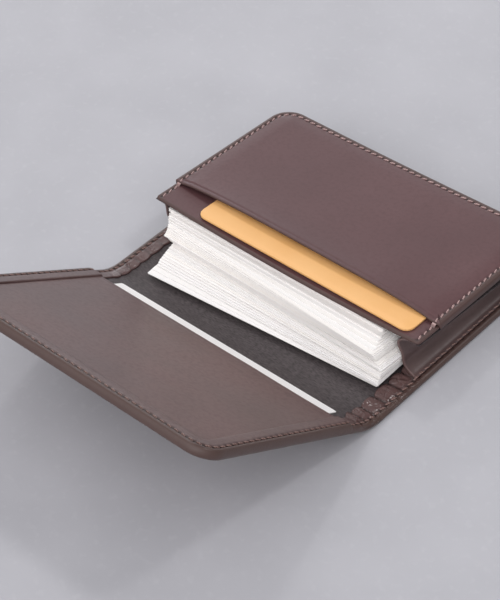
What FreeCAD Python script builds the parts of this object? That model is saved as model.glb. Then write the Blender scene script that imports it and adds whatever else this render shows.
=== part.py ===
"""Folding business card case: a leather cover that folds twice round a spine strip, a gusseted card
pocket with a slip pocket on its front, a slip pocket inside the flap, and the cards they hold.

Frame: X along the spine, +Y from the flap towards the gusseted pocket, +Z up. The origin is the centre
of the back plate's underside, the face the case lies on. The case is modelled open: back plate flat,
spine strip curving up, flap raised.
"""
import FreeCAD, Part
import math
import os

os.makedirs("parts", exist_ok=True)
Vec = FreeCAD.Vector
X_AXIS = Vec(1, 0, 0)
Z_AXIS = Vec(0, 0, 1)

# ---- Driving dimensions (mm, degrees) --------------------------------------------------------------
case_half_width = 56.0
back_far_edge = 39.0
spine_fold_y = -38.4
flap_length = 77.6
corner_radius = 8.0

# Layers of each plate, outside to inside.
cover_thick = 1.1
board_thick = 0.5
lining_thick = 0.3
hem_thick = 0.5
lining_face = cover_thick + board_thick + lining_thick
inner_face = lining_face + hem_thick
hem_width = 6.5
edge_wall = 0.5

# Spine strip: a flat run from the back fold, then a bend up to the flap.
spine_flat_end = -45.0
bend_radius = 18.5
flap_angle = 32.5
fold_gap = 0.3
flap_fold_gap = 0.85

# Flap pocket.
flap_pocket_mouth = 6.6
flap_pocket_rise = 0.45
flap_pocket_thick = 0.65
pocket_rim = 5.0

# Front panel of the gusseted pocket: flat heights hold when it lies level, then it is tipped open.
panel_half_width = 55.65
panel_near_edge = -27.2
panel_far_edge = 38.9
panel_hinge_y = 38.5
panel_underside = 11.5
panel_tilt = 5.0
panel_lining_thick = 0.2
panel_thick = 1.0
slip_mouth_y = -17.5
slip_rise = 0.95
slip_thick = 0.85
slip_rim = 4.5

# Gusset: a lower wall on the back plate and an upper wall on the front panel, one inside the other.
gusset_thick = 0.6
gusset_near_edge = -26.5
gusset_flange_half = 55.2
gusset_flange_far = 38.2
lower_wall_half = 50.5
lower_wall_far = 33.5
lower_wall_top = 8.2
upper_wall_half = 51.8
upper_wall_far = 36.0
upper_wall_drop = 8.2

# Seam threads.
thread_width = 0.5
thread_thick = 0.15
seam_inset = 2.1

# Cards.
card_length = 91.0
card_depth = 55.0
card_thick = 0.27
stack_bottom = 2.32
stack_gap = 0.05
level_pitch = 1.4
accent_card_size = (88.0, 55.0, 0.76)
accent_card_near_edge = -25.8
accent_card_centre = 6.0
flap_card_near_edge = 0.8

# One row per bundle of cards, bottom first:
# number of cards, centre of the near edge (x, y), turn in plan, lift of the near end.
card_bundles = [
    (2, 2.4, -41.3, 4.6, level_pitch),
    (4, 2.4, -39.3, 1.7, level_pitch),
    (5, 2.2, -37.2, 0.4, 2.3),
    (5, 2.2, -34.0, -2.2, 3.0),
    (6, -0.5, -34.1, -1.0, 3.8),
    (5, -1.6, -33.0, -3.2, 4.4),
    (5, -4.6, -26.5, 0.0, 4.9),
]


# ---- Helpers ---------------------------------------------------------------------------------------
def slab(half_width, y_near, y_far, z_low, z_high, radius=0.0):
    """Flat plate with square near corners and far corners rounded to radius."""
    if radius <= 0:
        return Part.makeBox(2 * half_width, y_far - y_near, z_high - z_low,
                            Vec(-half_width, y_near, z_low))
    bend = radius * math.sin(math.radians(45))
    near_left = Vec(-half_width, y_near, z_low)
    near_right = Vec(half_width, y_near, z_low)
    right_start = Vec(half_width, y_far - radius, z_low)
    right_mid = Vec(half_width - radius + bend, y_far - radius + bend, z_low)
    right_end = Vec(half_width - radius, y_far, z_low)
    left_start = Vec(-half_width + radius, y_far, z_low)
    left_mid = Vec(-half_width + radius - bend, y_far - radius + bend, z_low)
    left_end = Vec(-half_width, y_far - radius, z_low)
    edges = [
        Part.LineSegment(near_left, near_right).toShape(),
        Part.LineSegment(near_right, right_start).toShape(),
        Part.Arc(right_start, right_mid, right_end).toShape(),
        Part.LineSegment(right_end, left_start).toShape(),
        Part.Arc(left_start, left_mid, left_end).toShape(),
        Part.LineSegment(left_end, near_left).toShape(),
    ]
    return Part.Face(Part.Wire(edges)).extrude(Vec(0, 0, z_high - z_low))


def u_strip(half_width, y_near, y_far, z_low, z_high, width, radius):
    """Strip of the given width along the left, far and right sides of a plate."""
    outer = slab(half_width, y_near, y_far, z_low, z_high, radius)
    inner = slab(half_width - width, y_near - 1, y_far - width, z_low - 1, z_high + 1,
                 max(radius - width, 0.6))
    return outer.cut(inner)


def keep_side(shape, side, y_split):
    """The part of a U-shaped piece on one side: "left", "right" or "far"."""
    big = 300.0
    if side == "far":
        region = Part.makeBox(big, big, big, Vec(-big / 2, y_split, -big / 2))
    elif side == "left":
        region = Part.makeBox(big, big, big, Vec(-big, y_split - big, -big / 2))
    else:
        region = Part.makeBox(big, big, big, Vec(0, y_split - big, -big / 2))
    return shape.common(region)


def solids_of(*shapes):
    """Compound of every solid in the shapes given."""
    return Part.makeCompound([solid for shape in shapes for solid in shape.Solids])


def write(node, shape):
    """Check one sub-part and write it as parts/NODE.step."""
    if not shape.isValid() or not shape.Solids:
        raise ValueError("bad solid in " + node)
    if len(shape.Solids) == 1:
        shape = shape.Solids[0]
    shape.exportStep("parts/" + node + ".step")


# ---- Plates of the cover ---------------------------------------------------------------------------
def turned_hem(y_near, y_far, top, width):
    """Cover leather turned over a plate's left, far and right edges: top strip and edge wall."""
    strip = u_strip(case_half_width, y_near, y_far, top - hem_thick, top, width, corner_radius)
    wall = u_strip(case_half_width, y_near, y_far, 0, top, edge_wall, corner_radius)
    return strip.fuse(wall).removeSplitter()


def cover_layers(y_near, y_far):
    """Cover leather, stiffening board and lining of one flat plate."""
    half = case_half_width - edge_wall
    far = y_far - edge_wall
    radius = corner_radius - edge_wall
    cover = slab(half, y_near, far, 0, cover_thick, radius)
    board = slab(half - 0.7, y_near + 0.8, far - 0.7, cover_thick, cover_thick + board_thick, radius)
    lining = slab(half - 0.1, y_near, far - 0.1, cover_thick + board_thick, lining_face, radius)
    return cover, board, lining


def back_plate():
    """Back plate: layers, turned hems, lower gusset and their seam."""
    near = spine_fold_y + fold_gap
    cover, board, lining = cover_layers(near, back_far_edge)
    write("cover_back", cover)
    write("board_back", board)
    write("lining_back", lining)

    hem = turned_hem(near, back_far_edge, inner_face, hem_width)
    for side in ("left", "right", "far"):
        write("hem_back_" + side, keep_side(hem, side, back_far_edge - hem_width - 4))

    flange_top = inner_face + gusset_thick
    flange = u_strip(gusset_flange_half, gusset_near_edge, gusset_flange_far, inner_face, flange_top,
                     gusset_flange_half - lower_wall_half + gusset_thick, corner_radius - 0.8)
    wall = u_strip(lower_wall_half, gusset_near_edge, lower_wall_far, flange_top, lower_wall_top,
                   gusset_thick, 4.0)
    write("gusset_lower", flange.fuse(wall).removeSplitter())

    seam_half = case_half_width - seam_inset
    on_gusset = u_strip(seam_half, gusset_near_edge, back_far_edge - seam_inset, flange_top,
                        flange_top + thread_thick, thread_width, corner_radius - seam_inset)
    on_hem = u_strip(seam_half, near, back_far_edge - seam_inset, inner_face,
                     inner_face + thread_thick, thread_width, corner_radius - seam_inset)
    near_runs = [keep_side(on_hem, side, gusset_near_edge - 0.2) for side in ("left", "right")]
    write("thread_back", solids_of(on_gusset, *near_runs))


def spine_layer(half_left, half_right, w_low, w_high):
    """Part of the spine strip between two depths, from x = half_left to x = half_right."""
    end_angle = math.radians(flap_angle) - flap_fold_gap / bend_radius
    start_y = spine_fold_y - fold_gap

    def bend_point(depth, angle):
        radius = bend_radius - depth
        return Vec(half_left, spine_flat_end - radius * math.sin(angle),
                   bend_radius - radius * math.cos(angle))

    outer_start = Vec(half_left, start_y, w_low)
    inner_start = Vec(half_left, start_y, w_high)
    edges = [
        Part.LineSegment(outer_start, bend_point(w_low, 0)).toShape(),
        Part.Arc(bend_point(w_low, 0), bend_point(w_low, end_angle / 2),
                 bend_point(w_low, end_angle)).toShape(),
        Part.LineSegment(bend_point(w_low, end_angle), bend_point(w_high, end_angle)).toShape(),
        Part.Arc(bend_point(w_high, end_angle), bend_point(w_high, end_angle / 2),
                 bend_point(w_high, 0)).toShape(),
        Part.LineSegment(bend_point(w_high, 0), inner_start).toShape(),
        Part.LineSegment(inner_start, outer_start).toShape(),
    ]
    return Part.Face(Part.Wire(edges)).extrude(Vec(half_right - half_left, 0, 0))


def spine_strip():
    """Spine strip: cover, lining, side hems and their threads, all with the same bend."""
    half = case_half_width - edge_wall
    write("cover_spine", spine_layer(-half, half, 0, cover_thick))
    write("lining_spine", spine_layer(-half + 0.1, half - 0.1, cover_thick, lining_face))
    threads = []
    for side, sign in (("left", -1), ("right", 1)):
        x_low = min(sign * case_half_width, sign * (case_half_width - hem_width))
        strip = spine_layer(x_low, x_low + hem_width, lining_face, inner_face)
        wall_low = min(sign * half, sign * case_half_width)
        wall = spine_layer(wall_low, wall_low + edge_wall, 0, inner_face)
        write("hem_spine_" + side, strip.fuse(wall).removeSplitter())
        seam = case_half_width - seam_inset - thread_width / 2
        threads.append(spine_layer(sign * seam - thread_width / 2, sign * seam + thread_width / 2,
                                   inner_face, inner_face + thread_thick))
    write("thread_spine", solids_of(*threads))


def on_flap(shape):
    """Move a plate drawn flat, with its far edge at +Y, to the raised flap."""
    angle = math.radians(flap_angle)
    placed = shape.copy()
    placed.rotate(Vec(0, 0, 0), Z_AXIS, 180)
    placed.rotate(Vec(0, 0, 0), X_AXIS, -flap_angle)
    placed.translate(Vec(0, spine_flat_end - bend_radius * math.sin(angle),
                         bend_radius * (1 - math.cos(angle))))
    return placed


def flap_plate():
    """Flap: layers, its slip pocket, the hems turned over the pocket, seam and the card inside."""
    cover, board, lining = cover_layers(flap_fold_gap, flap_length)
    write("cover_flap", on_flap(cover))
    write("board_flap", on_flap(board))
    write("lining_flap", on_flap(lining))

    half = case_half_width - edge_wall - 0.1
    far = flap_length - edge_wall - 0.1
    leather_low = lining_face + flap_pocket_rise
    pocket_top = leather_low + flap_pocket_thick
    sheet = slab(half, flap_pocket_mouth, far, leather_low, pocket_top, corner_radius - 0.6)
    rim = u_strip(half, flap_pocket_mouth, far, lining_face, leather_low, pocket_rim,
                  corner_radius - 0.6)
    write("flap_pocket", on_flap(sheet.fuse(rim).removeSplitter()))

    hem_top = pocket_top + hem_thick
    over_pocket = turned_hem(flap_pocket_mouth, flap_length, hem_top, hem_width)
    by_fold = turned_hem(flap_fold_gap, flap_length, inner_face, hem_width)
    split = flap_length - hem_width - 4
    write("hem_flap_edge", on_flap(keep_side(over_pocket, "far", split)))
    for side in ("left", "right"):
        near_part = keep_side(by_fold, side, flap_pocket_mouth)
        hem = keep_side(over_pocket, side, split).fuse(near_part).removeSplitter()
        write("hem_flap_" + opposite[side], on_flap(hem))

    seam_half = case_half_width - seam_inset
    seam_far = flap_length - seam_inset
    seam = u_strip(seam_half, flap_pocket_mouth, seam_far, hem_top, hem_top + thread_thick,
                   thread_width, corner_radius - seam_inset)
    low_seam = u_strip(seam_half, flap_fold_gap, seam_far, inner_face, inner_face + thread_thick,
                       thread_width, corner_radius - seam_inset)
    near_runs = [keep_side(low_seam, side, flap_pocket_mouth - 0.2) for side in ("left", "right")]
    write("thread_flap", on_flap(solids_of(seam, *near_runs)))

    card_low = lining_face + 0.06
    card = Part.makeBox(card_length, card_depth, card_thick,
                        Vec(-card_length / 2, flap_card_near_edge, card_low))
    write("flap_card", on_flap(card))


# The flap is drawn turned half a turn about Z, so its left and right change places.
opposite = {"left": "right", "right": "left"}


# ---- Front panel of the gusseted pocket ------------------------------------------------------------
def on_panel(shape):
    """Tip a piece drawn level about the panel's far edge, so its near edge stands open."""
    placed = shape.copy()
    placed.rotate(Vec(0, panel_hinge_y, panel_underside), X_AXIS, -panel_tilt)
    return placed


def front_panel():
    """Front panel: leather, lining, upper gusset, slip pocket, seam, bar tacks and accent card."""
    leather_low = panel_underside + panel_lining_thick
    leather_top = leather_low + panel_thick
    lining = slab(panel_half_width - 0.4, panel_near_edge + 0.3, panel_far_edge - 0.4,
                  panel_underside, leather_low, corner_radius - 0.4)
    leather = slab(panel_half_width, panel_near_edge, panel_far_edge, leather_low, leather_top,
                   corner_radius)
    write("front_panel_lining", on_panel(lining))
    write("front_panel", on_panel(leather))

    flange_low = panel_underside - gusset_thick
    flange = u_strip(gusset_flange_half, gusset_near_edge, gusset_flange_far, flange_low,
                     panel_underside, gusset_flange_half - upper_wall_half + gusset_thick,
                     corner_radius - 0.8)
    wall = u_strip(upper_wall_half, gusset_near_edge, upper_wall_far,
                   panel_underside - upper_wall_drop, flange_low, gusset_thick, 4.0)
    write("gusset_upper", on_panel(flange.fuse(wall).removeSplitter()))

    slip_low = leather_top + slip_rise
    slip_top = slip_low + slip_thick
    sheet = slab(panel_half_width, slip_mouth_y, panel_far_edge, slip_low, slip_top, corner_radius)
    rim = u_strip(panel_half_width, slip_mouth_y, panel_far_edge, leather_top, slip_low, slip_rim,
                  corner_radius)
    write("slip_pocket", on_panel(sheet.fuse(rim).removeSplitter()))

    tack_length = 2.2
    seam_half = panel_half_width - seam_inset
    seam_far = panel_far_edge - seam_inset
    seam = u_strip(seam_half, slip_mouth_y + tack_length + 0.2, seam_far, slip_top,
                   slip_top + thread_thick, thread_width, corner_radius - seam_inset)
    low_seam = u_strip(seam_half, panel_near_edge + 0.8, seam_far, leather_top,
                       leather_top + thread_thick, thread_width, corner_radius - seam_inset)
    near_runs = [keep_side(low_seam, side, slip_mouth_y - 0.2) for side in ("left", "right")]
    write("thread_panel", on_panel(solids_of(seam, *near_runs)))

    tack_size = Vec(2.0, tack_length, 0.3)
    tacks = []
    for sign in (-1, 1):
        centre = sign * (panel_half_width - seam_inset - thread_width / 2)
        corner = Vec(centre - tack_size.x / 2, slip_mouth_y, slip_top)
        tacks.append(Part.makeBox(tack_size.x, tack_size.y, tack_size.z, corner))
    write("bar_tacks", on_panel(solids_of(*tacks)))

    length, depth, thick = accent_card_size
    card = Part.makeBox(length, depth, thick,
                        Vec(accent_card_centre - length / 2, accent_card_near_edge,
                            leather_top + 0.06))
    upright = [edge for edge in card.Edges if abs(edge.tangentAt(0).z) > 0.9]
    write("accent_card", on_panel(card.makeFillet(3.2, upright)))


# ---- Bundles of cards in the gusseted pocket -------------------------------------------------------
def card_stack():
    """Bundles of loose cards, each turned in plan and tipped up about its own far corner line."""
    below = None
    for number, (count, near_x, near_y, turn, lift) in enumerate(card_bundles, start=1):
        turn_rad = math.radians(turn)
        far_y = near_y + card_depth * math.cos(turn_rad) + card_length / 2 * abs(math.sin(turn_rad))
        tip_z = stack_bottom
        if below is not None:
            step = far_y - below["far_y"]
            slope = level_pitch if step > 0 else below["lift"]
            tip_z = below["top"] + stack_gap - step * math.tan(math.radians(slope))
        cards = []
        for layer in range(count):
            card = Part.makeBox(card_length, card_depth, card_thick,
                                Vec(-card_length / 2, 0, layer * card_thick))
            card.rotate(Vec(0, 0, 0), Z_AXIS, turn)
            card.translate(Vec(near_x, near_y, tip_z))
            card.rotate(Vec(0, far_y, tip_z), X_AXIS, -lift)
            cards.append(card)
        write("cards_" + str(number), Part.makeCompound(cards))
        below = {"far_y": far_y, "top": tip_z + count * card_thick, "lift": lift}
        print("cards_%d tips about y=%.3f z=%.3f" % (number, far_y, tip_z))


def joint_places():
    """Print where the folds lie, for the record."""
    angle = math.radians(flap_angle)
    fold_y = spine_flat_end - (bend_radius - inner_face) * math.sin(angle)
    fold_z = bend_radius - (bend_radius - inner_face) * math.cos(angle)
    reach = math.hypot(spine_fold_y - fold_y, fold_z - inner_face)
    rise = math.degrees(math.atan2(fold_z - inner_face, spine_fold_y - fold_y))
    print("flap fold y=%.3f z=%.3f, closed gap %.3f" % (fold_y, fold_z, reach))
    print("spine closes %.3f, flap closes %.3f" % (90 - rise, 180 - flap_angle - (90 - rise)))


back_plate()
spine_strip()
flap_plate()
front_panel()
card_stack()
joint_places()
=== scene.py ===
import math
import random
import bmesh
import bpy
import numpy as np
from mathutils import Matrix, Vector, noise
from mathutils.geometry import delaunay_2d_cdt


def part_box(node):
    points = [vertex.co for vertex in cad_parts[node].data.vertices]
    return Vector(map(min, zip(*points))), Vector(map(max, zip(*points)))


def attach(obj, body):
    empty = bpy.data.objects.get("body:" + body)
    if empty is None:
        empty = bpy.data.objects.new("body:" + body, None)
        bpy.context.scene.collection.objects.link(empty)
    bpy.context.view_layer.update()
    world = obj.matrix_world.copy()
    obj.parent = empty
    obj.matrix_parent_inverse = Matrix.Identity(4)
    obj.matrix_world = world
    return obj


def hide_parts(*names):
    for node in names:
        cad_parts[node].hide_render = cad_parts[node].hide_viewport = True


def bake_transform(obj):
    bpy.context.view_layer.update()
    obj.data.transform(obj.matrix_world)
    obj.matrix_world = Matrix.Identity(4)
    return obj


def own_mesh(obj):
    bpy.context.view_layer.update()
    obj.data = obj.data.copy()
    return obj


# A leather business card case lying open on a table. Sizes below are in millimetres, and a mesh is
# scaled to metres when it is made. The case is drawn unrolled, as a flat sheet: x across it, s from the
# back plate's far edge, over the spine, to the flap's free edge, and w from the outer face inwards.
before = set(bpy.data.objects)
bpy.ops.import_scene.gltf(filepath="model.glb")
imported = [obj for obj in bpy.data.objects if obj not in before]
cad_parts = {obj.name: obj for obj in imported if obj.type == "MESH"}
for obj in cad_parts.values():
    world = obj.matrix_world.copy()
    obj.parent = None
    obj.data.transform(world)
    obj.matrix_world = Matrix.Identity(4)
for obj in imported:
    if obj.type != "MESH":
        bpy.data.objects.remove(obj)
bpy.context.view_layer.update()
MM = 0.001


def low(node):
    """Lowest corner of a CAD node, in millimetres."""
    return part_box(node)[0] / MM


def high(node):
    """Highest corner of a CAD node, in millimetres."""
    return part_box(node)[1] / MM


# ---- Sizes -----------------------------------------------------------------------------------------
case_half = high("hem_back_right").x
case_far = high("hem_back_far").y
case_corner = 8.0
bend_start_y = -45.0
bend_radius = 18.5
bend_angle = math.radians(32.5)
bend_start = case_far - bend_start_y
bend_end = bend_start + bend_radius * bend_angle
flap_length = 77.6
case_length = bend_end + flap_length
split_at = 82.0                       # the case's skins are cut here, where the spine is flat
leather_inner = 1.1
lining_low, lining_top = 1.62, 1.9
hem_top = 2.4
hem_width = 6.5
flap_hem_rise = 1.1                   # the hems stand higher where they lie over the flap's pocket
flap_step = bend_end + 5.6            # where they step up
seam_inset = 2.1
stitch_pitch = 2.7
right_valleys = [60.5, 66.0, 72.2, 79.3, 85.6, 91.0, 95.5]      # between the hems' pleats
left_valleys = [58.0, 64.1, 69.3, 75.2, 80.4, 84.6, 89.9, 95.0]
pleat_height = 0.85
pleat_hem_width = 8.0

panel_hinge_y = 38.5
panel_hinge_z = 11.5
panel_angle = math.radians(5.0)
panel_rise = 1.6                      # the full pocket lifts the panel's far edge by this much,
panel_warp = 2.2                      # and its far right corner by this much more
panel_half = high("front_panel").x
panel_near = -27.2
panel_far = 38.9
panel_low, panel_top = 11.72, 12.7
mouth_y = -17.5
slip_thick = 0.85
slip_rim_top = 14.1
slip_top = 14.5
mouth_bow, mouth_bow_half = 1.9, 51.0
sag, sag_half = 0.9, 54.0             # the panel's near edge hangs by this much between these places

gusset_half = high("gusset_lower").x
gusset_near = -26.5
gusset_far = 38.2
gusset_corner = 7.2
gusset_low, gusset_level = 2.7, 11.2
gusset_thick = 0.6

flap_pocket_mouth = bend_end + 6.6
flap_pocket_far = case_length - 1.2
flap_pocket_half = 54.0
flap_pocket_low, flap_pocket_top = 2.35, 3.0
flap_card_near = bend_end + 0.8

card_length, card_depth, card_thick, card_pitch = 91.0, 55.0, 0.264, 0.27
card_slip = 0.95                      # how far a bundle's top card has gone towards the next bundle's lie
card_gap = 0.01
bundle_gap, bundle_gap_right = 0.04, 0.28      # gap over a bundle, and what is added at its right end
first_level_bundle = 5                # from this bundle up they lie as close as single cards
# One row per bundle of cards, bottom first:
# number of cards, centre of the near edge (x, y), turn in plan, lift of the near end (degrees).
card_bundles = [
    (2, 2.4, -41.3, 4.6, 1.4),
    (4, 2.4, -39.3, 1.7, 1.4),
    (5, 2.2, -37.2, 0.4, 2.3),
    (5, 2.2, -34.0, -2.2, 3.0),
    (6, -0.5, -34.1, -1.0, 3.8),
    (5, -1.6, -33.0, -3.2, 4.4),
    (5, -4.6, -26.5, 0.0, 4.9),
]


# ---- Spaces ----------------------------------------------------------------------------------------
def on_case(points):
    """Unrolled case (x, s, w) to the row's frame."""
    x, s, w = np.asarray(points, float).T
    turn = np.clip(s - bend_start, 0, bend_end - bend_start) / bend_radius
    run = np.clip(s - bend_end, 0, None)
    flat = np.clip(bend_start - s, 0, None)
    reach = bend_radius - w
    y = bend_start_y + flat - reach * np.sin(turn) - run * np.cos(turn)
    z = bend_radius - reach * np.cos(turn) + run * np.sin(turn)
    return np.column_stack([x, y, z])


def on_panel(points):
    """Level front panel (x, y, z) to the row's frame: tipped about the panel's far edge."""
    x, y, z = np.asarray(points, float).T
    back, up = y - panel_hinge_y, z - panel_hinge_z
    turned_y = panel_hinge_y + back * math.cos(panel_angle) + up * math.sin(panel_angle)
    turned_z = panel_hinge_z - back * math.sin(panel_angle) + up * math.cos(panel_angle)
    across = np.clip((x + panel_half) / (2 * panel_half), 0, 1) ** 2.2
    deep = np.clip((y - panel_near) / (panel_far - panel_near), 0, 1)
    return np.column_stack([x, turned_y, turned_z + (panel_rise + panel_warp * across) * deep])


def as_drawn(points):
    return np.asarray(points, float)


# ---- Outlines and shells ---------------------------------------------------------------------------
def smooth_step(value, start, end):
    t = np.clip((np.asarray(value, float) - start) / (end - start), 0, 1)
    return t * t * (3 - 2 * t)


def ripple(x, q, size, seed=0.0):
    """Smooth noise between about -1 and 1, with features of the given size."""
    return np.array([noise.noise(Vector((a / size, b / size, seed))) for a, b in zip(x, q)])


class Outline:
    """Closed rounded rectangle that can be drawn at any inset with the same number of points."""

    def __init__(self, left, right, near, far, radii, spacing):
        self.corners = [(left, near, 1, 1), (right, near, -1, 1), (right, far, -1, -1), (left, far, 1, -1)]
        self.radii = radii
        self.arc_steps = [max(3, round(radius * math.pi / 2 / spacing)) for radius in radii]
        runs = [right - left, far - near, right - left, far - near]
        self.run_steps = [max(1, round((run - radii[i] - radii[(i + 1) % 4]) / spacing))
                          for i, run in enumerate(runs)]
        self.normals = np.array([point[1] for point in self.walk(0.0)])

    def walk(self, inset):
        arcs = []
        for number, (x, q, to_x, to_q) in enumerate(self.corners):
            radius = max(self.radii[number] - inset, 0.02)
            centre = np.array([x + to_x * (inset + radius), q + to_q * (inset + radius)])
            steps = self.arc_steps[number]
            angles = math.pi + (number + np.linspace(0, 1, steps + 1)) * math.pi / 2
            outs = [np.array([math.cos(angle), math.sin(angle)]) for angle in angles]
            arcs.append([(centre + radius * out, -out) for out in outs])
        walked = []
        for number, arc in enumerate(arcs):
            walked += arc[:-1]
            first, last = arc[-1][0], arcs[(number + 1) % 4][0][0]
            steps = self.run_steps[number]
            walked += [(first + (last - first) * step / steps, arc[-1][1]) for step in range(steps)]
        return walked

    def ring(self, inset=0.0):
        return np.array([point[0] for point in self.walk(inset)])

    def lift(self, inset, height):
        """A level ring at an inset and a height."""
        flat = self.ring(inset)
        return np.column_stack([flat, np.full(len(flat), float(height))])


def is_inside(points, ring):
    """Which points lie inside a closed ring."""
    x, q = points[:, :1], points[:, 1:]
    here, there = ring, np.roll(ring, -1, axis=0)
    spans = (here[:, 1] > q) != (there[:, 1] > q)
    slope = (there[:, 0] - here[:, 0]) / (there[:, 1] - here[:, 1] + 1e-12)
    return (spans & (x < slope * (q - here[:, 1]) + here[:, 0])).sum(axis=1) % 2 == 1


def fill(ring, spacing, height):
    """Triangles inside a ring, over a grid of extra points. Returns the extra points and the faces."""
    flat = ring[:, :2]
    lowest, highest = flat.min(axis=0), flat.max(axis=0)
    columns = np.arange(lowest[0] + spacing / 2, highest[0], spacing)
    rows = np.arange(lowest[1] + spacing / 2, highest[1], spacing)
    grid = np.array([(x, q) for x in columns for q in rows])
    clear = np.array([np.min(np.hypot(*(flat - point).T)) > spacing * 0.45 for point in grid])
    grid = grid[clear & is_inside(grid, flat)]
    corners = [Vector(point) for point in np.vstack([flat, grid])]
    border = [(i, (i + 1) % len(flat)) for i in range(len(flat))]
    _, _, faces, sources, _, _ = delaunay_2d_cdt(corners, border, [], 1, 1e-5)
    origin = [source[0] for source in sources]
    extra = np.column_stack([grid, height(grid[:, 0], grid[:, 1])])
    return extra, [tuple(origin[corner] for corner in face) for face in faces]


def ring_faces(start, rings, count):
    """Quads between the rings of a stack, whose points begin at the start index."""
    faces = []
    for a in range(start, start + (rings - 1) * count, count):
        faces += [(a + i, a + (i + 1) % count, a + count + (i + 1) % count, a + count + i)
                  for i in range(count)]
    return faces


def capped_faces(start, rings, count):
    """The same quads, with one face across each end of the stack."""
    ends = (start, start + (rings - 1) * count)
    return ring_faces(start, rings, count) + [tuple(range(end, end + count)) for end in ends]


def shell(rings, spacing, bottom, top, insets=None):
    """Closed skin through a stack of rings, both ends filled. Returns points, faces and insets."""
    count = len(rings[0])
    points, faces = list(rings), ring_faces(0, len(rings), count)
    depth = list(insets) if insets else [np.zeros(count) for ring in rings]
    total = count * len(rings)
    for ring_number, height in ((0, bottom), (len(rings) - 1, top)):
        extra, triangles = fill(rings[ring_number], spacing, height)
        start = ring_number * count
        for face in triangles:
            faces.append(tuple(start + i if i < count else total + i - count for i in face))
        points.append(extra)
        depth.append(np.full(len(extra), 99.0))
        total += len(extra)
    return np.vstack(points), faces, np.concatenate(depth)


def level(height):
    """A height function that is the same everywhere."""
    return lambda x, q: np.full(len(x), float(height))


# ---- Pieces ----------------------------------------------------------------------------------------
def make_mesh(name, points, faces, smooth=True, attributes=None):
    """Mesh in the space it is drawn in, still in millimetres, with its outside found."""
    mesh = bpy.data.meshes.new(name)
    mesh.from_pydata(np.asarray(points).tolist(), [], [tuple(map(int, face)) for face in faces])
    for label, values in (attributes or {}).items():
        layer = mesh.attributes.new(label, "FLOAT", "POINT")
        layer.data.foreach_set("value", np.asarray(values, np.float32))
    work = bmesh.new()
    work.from_mesh(mesh)
    bmesh.ops.remove_doubles(work, verts=work.verts, dist=1e-4)
    bmesh.ops.recalc_face_normals(work, faces=work.faces)
    for face in work.faces:
        face.smooth = smooth
    work.to_mesh(mesh)
    work.free()
    return mesh


def welded(mesh):
    """The mesh with the points that tight corners crowd together joined into one."""
    work = bmesh.new()
    work.from_mesh(mesh)
    bmesh.ops.remove_doubles(work, verts=work.verts, dist=0.04)
    bmesh.ops.dissolve_degenerate(work, edges=work.edges, dist=0.01)
    work.to_mesh(mesh)
    work.free()
    return mesh


def place_mesh(mesh, space):
    """Moves a drawn mesh into the row's frame, in metres."""
    flat = np.empty(len(mesh.vertices) * 3)
    mesh.vertices.foreach_get("co", flat)
    mesh.vertices.foreach_set("co", (space(flat.reshape(-1, 3)) * MM).ravel())
    mesh.update()


def in_scene(name, data):
    """A new object of the data, in the scene."""
    thing = bpy.data.objects.new(name, data)
    bpy.context.scene.collection.objects.link(thing)
    return thing


def piece(name, mesh, space, material, nodes=()):
    """A visible object of the mesh, standing for the CAD nodes."""
    place_mesh(mesh, space)
    mesh.materials.append(material)
    thing = in_scene(name, mesh)
    if nodes:
        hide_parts(*nodes)
    return thing


def cut(mesh, keep_far):
    """Half of a mesh of the unrolled case: the back plate's side of the split, or the flap's."""
    work = bmesh.new()
    work.from_mesh(mesh)
    everything = work.verts[:] + work.edges[:] + work.faces[:]
    bmesh.ops.bisect_plane(work, geom=everything, plane_co=(0, split_at, 0), plane_no=(0, 1, 0),
                           clear_outer=keep_far, clear_inner=not keep_far)
    half = bpy.data.meshes.new(mesh.name + ("_back" if keep_far else "_flap"))
    work.to_mesh(half)
    work.free()
    return half


def ride_case(name, mesh, material, back_nodes, flap_nodes):
    """Splits a skin of the case at the flat spine, lays both halves onto the case's one bend, and hides the
    CAD nodes each half stands for.
    """
    back = piece(name + "_back", cut(mesh, True), on_case, material, back_nodes)
    flap = piece(name + "_flap", cut(mesh, False), on_case, material, flap_nodes)
    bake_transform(back)
    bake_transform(flap)


# ---- Materials -------------------------------------------------------------------------------------
class Nodes:
    """A node tree, with short calls for adding nodes."""

    def __init__(self, tree):
        self.tree = tree

    def link(self, source, target):
        if isinstance(source, bpy.types.NodeSocket):
            self.tree.links.new(source, target)
        else:
            target.default_value = (*source, 1.0) if target.type == "RGBA" else source

    def add(self, kind, output, inputs, **settings):
        """One output of a new node, whose inputs are linked to sockets or set to values."""
        node = self.tree.nodes.new("ShaderNode" + kind)
        for label, value in settings.items():
            setattr(node, label, value)
        for label, source in inputs.items():
            self.link(source, node.inputs[label])
        return node.outputs[output]

    def math(self, kind, a, b=0.0):
        return self.add("Math", 0, {0: a, 1: b}, operation=kind)


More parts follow.
